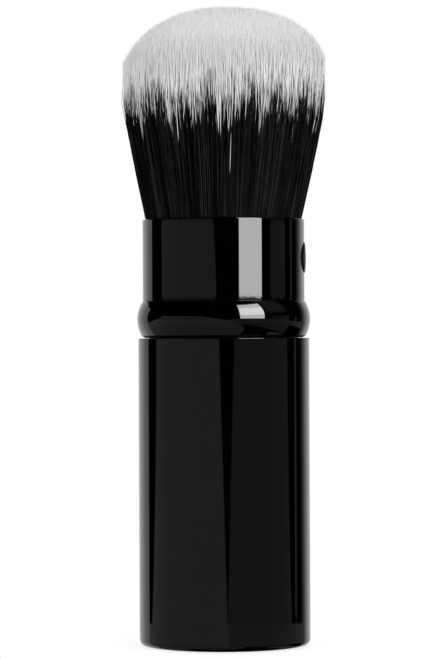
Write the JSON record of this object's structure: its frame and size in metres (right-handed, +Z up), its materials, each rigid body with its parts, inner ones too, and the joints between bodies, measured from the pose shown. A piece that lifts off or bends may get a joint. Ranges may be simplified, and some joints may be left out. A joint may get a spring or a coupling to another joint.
{
  "type": "retractable makeup brush",
  "caption": "Round face brush with a dense domed two-tone tuft on a gloss black handle, and a telescoping guard sleeve with a bulged collar and a cap catch.",
  "frame": {"origin": "centre of the lower tube's flat bottom, which is the centre of the bottom of the bounding box", "axes": "+Z up along the brush, from the handle to the bristle tips; the cap catch button looks along +X"},
  "size_m": [0.0332, 0.0332, 0.1047],
  "materials": {
    "gloss_lacquer": "high gloss black lacquer on aluminium",
    "inner_plastic": "satin black moulded plastic",
    "button_plastic": "matte black moulded plastic",
    "post_plastic": "natural moulded plastic",
    "ring_rubber": "matte silicone rubber",
    "ferrule_aluminium": "bare drawn aluminium",
    "spring_steel": "bright spring steel",
    "cast_resin": "clear amber resin",
    "bristle": "soft dyed fibre, black with white tips"
  },
  "bodies": {
    "handle": {"lower_tube": "gloss_lacquer", "liner_cup": "inner_plastic", "stop_bush": "inner_plastic", "friction_ring": "ring_rubber", "pedestal": "post_plastic", "pedestal_screw": "spring_steel", "ferrule": "ferrule_aluminium", "resin_plug": "cast_resin", "bristle_tuft": "bristle"},
    "sleeve": {"guide_tube": "inner_plastic", "collar_ring": "gloss_lacquer", "upper_sleeve": "gloss_lacquer", "catch_spring": "spring_steel"},
    "catch": {"catch_button": "button_plastic"}
  },
  "joints": [
    {"name": "sleeve_slide", "type": "slide", "parent": "handle", "child": "sleeve", "axis": [0, 0, 1], "range_m": [0, 0.036], "deforming": ["bristle_tuft"]},
    {"name": "catch_press", "type": "slide", "parent": "sleeve", "child": "catch", "axis": [-1, 0, 0], "range_m": [0, 0.0003], "stiffness_N_per_m": 2000, "springref_m": -0.0001, "deforming": ["catch_spring"]}
  ]
}
